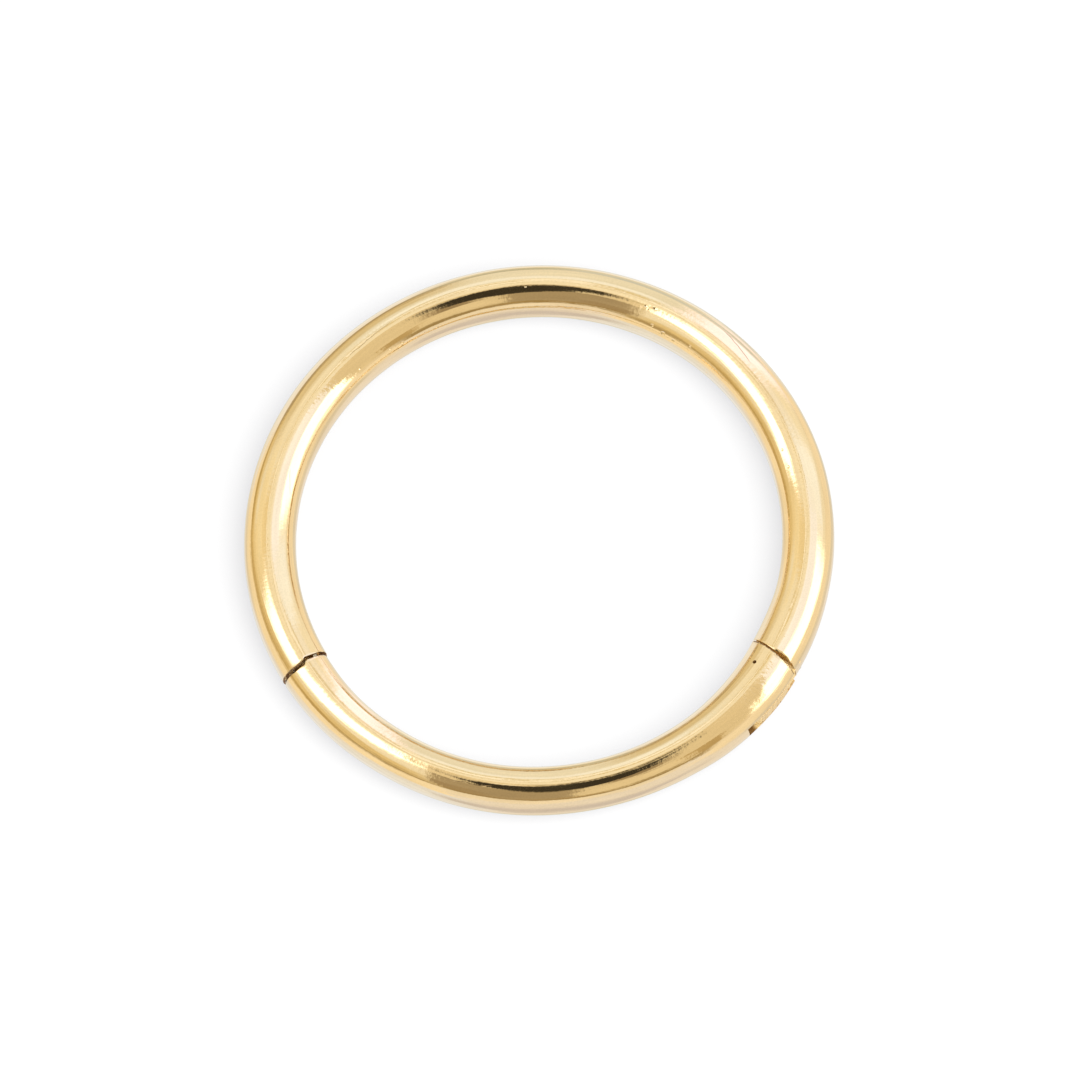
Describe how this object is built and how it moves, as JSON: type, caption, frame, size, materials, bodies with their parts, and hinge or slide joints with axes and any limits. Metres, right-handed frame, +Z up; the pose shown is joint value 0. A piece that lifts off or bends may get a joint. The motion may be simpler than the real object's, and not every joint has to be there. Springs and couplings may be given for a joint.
{
  "type": "clicker ring",
  "caption": "Round-wire clicker ring: a hinged segment turns on a riveted pin and its free end clicks into the fixed part.",
  "frame": {"origin": "on the floor under the middle of the closed ring's outline, where the ring lies flat", "axes": "+Z up, square to the flat of the ring; +Y from the segment towards the middle of the fixed part; the hinge is on the +X side and the clasp on the -X side"},
  "size_m": [0.0146, 0.0146, 0.0013],
  "materials": {
    "gold": "polished yellow gold with fine wear"
  },
  "bodies": {
    "fixed_ring": {"ring_body": "gold"},
    "hinged_segment": {"segment": "gold", "hinge_pin": "gold"}
  },
  "joints": [
    {"name": "segment_hinge", "type": "hinge", "parent": "fixed_ring", "child": "hinged_segment", "pos_m": [0.00529, -0.00436, 0.00064], "axis": [0, 0, 1], "range_deg": [0, 95]}
  ]
}
